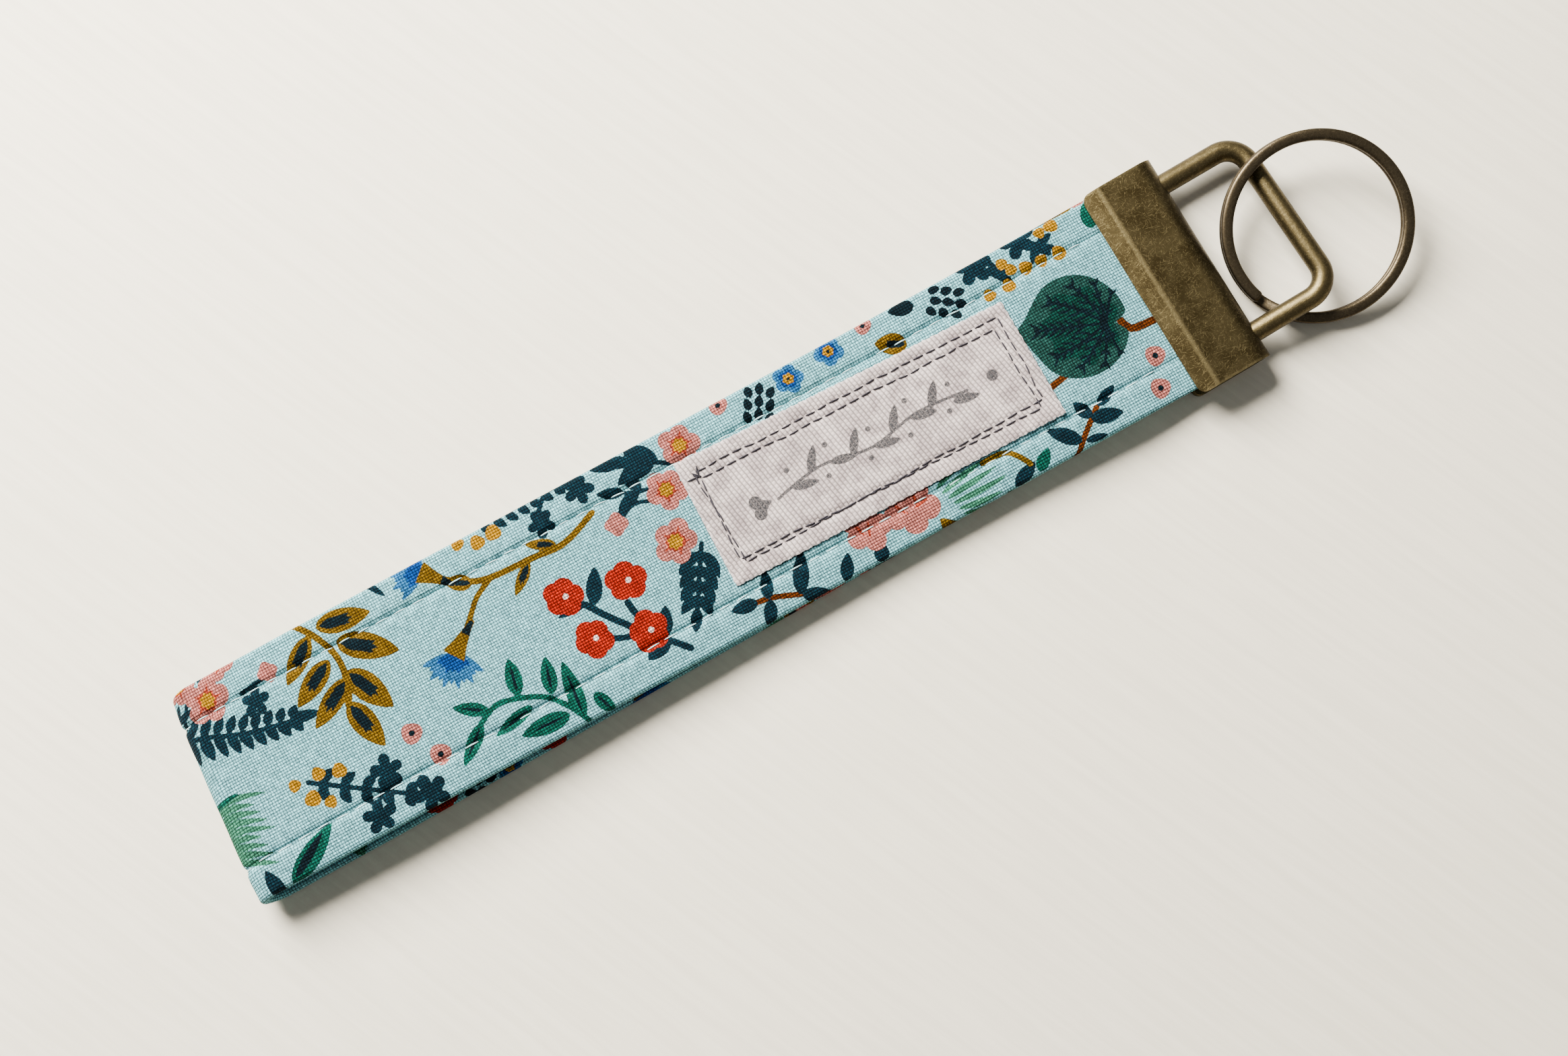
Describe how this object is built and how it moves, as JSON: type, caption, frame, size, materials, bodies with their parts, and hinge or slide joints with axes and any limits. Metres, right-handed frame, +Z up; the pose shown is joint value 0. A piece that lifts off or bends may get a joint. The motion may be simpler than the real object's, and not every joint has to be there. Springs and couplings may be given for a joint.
{
  "type": "wristlet keychain",
  "caption": "Fabric wrist loop gripped by a folded brass clamp, with a stitched label, a wire bail and a split ring for keys.",
  "frame": {"origin": "under the middle of the whole object, on the surface that it lies on", "axes": "+X along the strap from the fold of the loop to the split ring, +Y across the strap, +Z up from the surface"},
  "size_m": [0.1931, 0.0343, 0.0083],
  "materials": {
    "printed_cotton": "matt plain weave with a botanical print in reactive inks",
    "fleece": "soft matt fleece",
    "white_thread": "slightly glossy spun thread",
    "grey_thread": "slightly glossy spun thread",
    "twill": "matt cotton twill with a stamped grey motif",
    "clamp_brass": "antique brass plating, finely scratched, worn bright along the crease",
    "bail_brass": "antique brass wire, worn bright on top",
    "ring_brass": "dark antique brass spring wire"
  },
  "bodies": {
    "clamp": {"clamp": "clamp_brass", "cover_upper_tail": "printed_cotton", "core_upper_tail": "fleece", "cover_lower_tail": "printed_cotton", "core_lower_tail": "fleece"},
    "bail": {"bail": "bail_brass"},
    "ring": {"split_ring": "ring_brass"},
    "upper_root": {"cover_upper_root": "printed_cotton", "core_upper_root": "fleece", "needle_thread_left_upper_root": "white_thread", "needle_thread_right_upper_root": "white_thread", "bobbin_thread_left_upper_root": "white_thread", "bobbin_thread_right_upper_root": "white_thread", "label": "twill", "label_needle_thread_outer": "grey_thread", "label_needle_thread_inner": "grey_thread", "label_bobbin_thread_outer": "grey_thread", "label_bobbin_thread_inner": "grey_thread"},
    "upper_tip": {"cover_upper_tip": "printed_cotton", "core_upper_tip": "fleece", "needle_thread_left_upper_tip": "white_thread", "needle_thread_right_upper_tip": "white_thread", "bobbin_thread_left_upper_tip": "white_thread", "bobbin_thread_right_upper_tip": "white_thread"},
    "fold": {"cover_fold": "printed_cotton", "core_fold": "fleece", "needle_thread_left_fold": "white_thread", "needle_thread_right_fold": "white_thread", "bobbin_thread_left_fold": "white_thread", "bobbin_thread_right_fold": "white_thread"},
    "lower_tip": {"cover_lower_tip": "printed_cotton", "core_lower_tip": "fleece", "needle_thread_left_lower_tip": "white_thread", "needle_thread_right_lower_tip": "white_thread", "bobbin_thread_left_lower_tip": "white_thread", "bobbin_thread_right_lower_tip": "white_thread"},
    "lower_root": {"cover_lower_root": "printed_cotton", "core_lower_root": "fleece", "needle_thread_left_lower_root": "white_thread", "needle_thread_right_lower_root": "white_thread", "bobbin_thread_left_lower_root": "white_thread", "bobbin_thread_right_lower_root": "white_thread"}
  },
  "joints": [
    {"name": "loop_open", "type": "hinge", "parent": "clamp", "child": "upper_root", "pos_m": [0.05345, 0.0003, 0.00386], "axis": [0, 1, 0], "range_deg": [0, 30]},
    {"name": "upper_arch", "type": "hinge", "parent": "upper_root", "child": "upper_tip", "pos_m": [-0.01815, 0.0003, 0.00372], "axis": [0, 1, 0], "range_deg": [-60, 0]},
    {"name": "fold_upper_side", "type": "hinge", "parent": "upper_tip", "child": "fold", "pos_m": [-0.08925, 0.0003, 0.00562], "axis": [0, 1, 0], "range_deg": [0, 30]},
    {"name": "fold_lower_side", "type": "hinge", "parent": "fold", "child": "lower_tip", "pos_m": [-0.08925, 0.0003, 0], "axis": [0, 1, 0], "range_deg": [0, 30]},
    {"name": "lower_arch", "type": "hinge", "parent": "lower_tip", "child": "lower_root", "pos_m": [-0.01815, 0.0003, 0.00175], "axis": [0, 1, 0], "range_deg": [-60, 0]},
    {"name": "bail_tilt", "type": "hinge", "parent": "clamp", "child": "bail", "pos_m": [0.06605, 0.00034, 0.0028], "axis": [0.0297, -0.9996, 0], "range_deg": [-8, 3]},
    {"name": "ring_swing", "type": "hinge", "parent": "bail", "child": "ring", "pos_m": [0.07894, 0.00072, 0.00406], "axis": [0.0295, -0.995, 0.095], "range_deg": [0, 145]}
  ],
  "couplings": [
    {"joint": "upper_arch", "follows": "loop_open", "ratio": -2},
    {"joint": "fold_upper_side", "follows": "loop_open", "ratio": 1},
    {"joint": "fold_lower_side", "follows": "loop_open", "ratio": 1},
    {"joint": "lower_arch", "follows": "loop_open", "ratio": -2}
  ]
}
